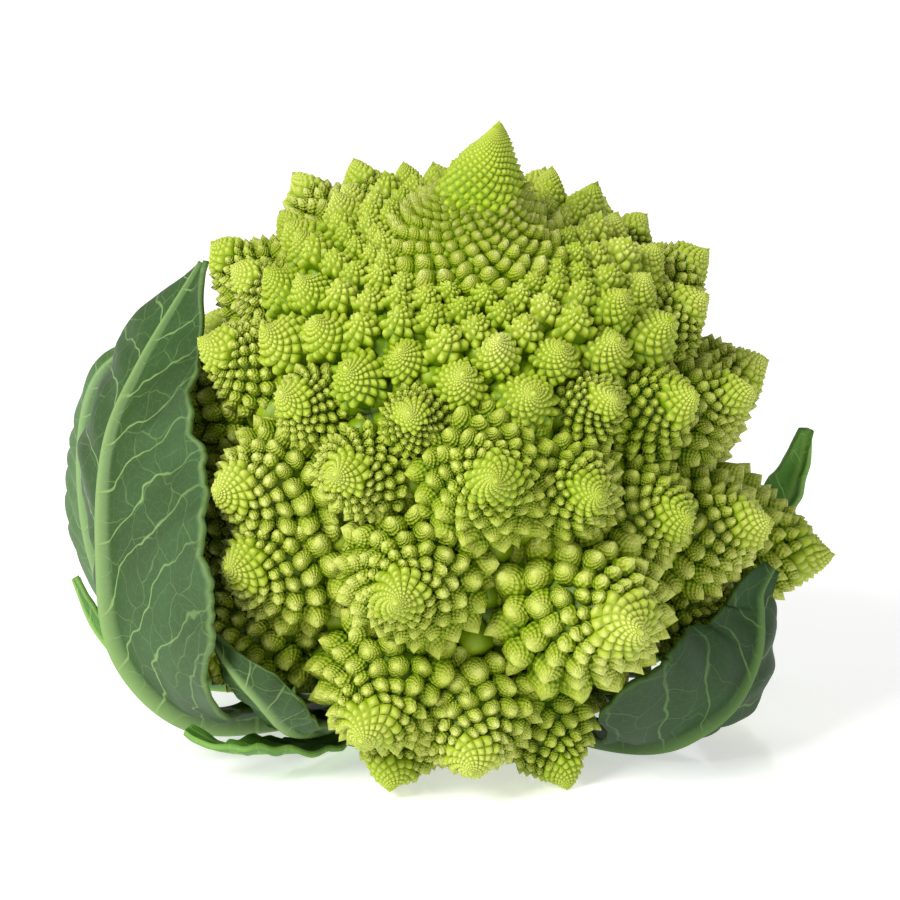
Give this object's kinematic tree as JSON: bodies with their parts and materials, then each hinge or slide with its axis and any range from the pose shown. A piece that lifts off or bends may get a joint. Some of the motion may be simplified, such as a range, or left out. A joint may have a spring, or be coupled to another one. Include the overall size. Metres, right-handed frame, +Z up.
{
  "type": "romanesco head",
  "caption": "Head of romanesco with cone-shaped spiralling florets on a cut stump, partly wrapped in its leaves, resting on its stump and lowest florets.",
  "frame": {"origin": "centre of the stump's cut face, on the surface that the head rests on", "axes": "+Z up, -Y the side that the head leans towards, where its lowest florets touch the surface"},
  "size_m": [0.1827, 0.1627, 0.1514],
  "materials": {
    "curd": "satin",
    "stalk": "satin",
    "leaf": "satin"
  },
  "bodies": {
    "root": {"curd": "curd", "stalk": "stalk", "leaf_left_outer": "leaf", "leaf_left_back": "leaf", "leaf_left_inner": "leaf", "leaf_left_small": "leaf", "leaf_left_low": "leaf", "leaf_right_front": "leaf", "leaf_right_back": "leaf", "leaf_right_small": "leaf"}
  },
  "joints": []
}
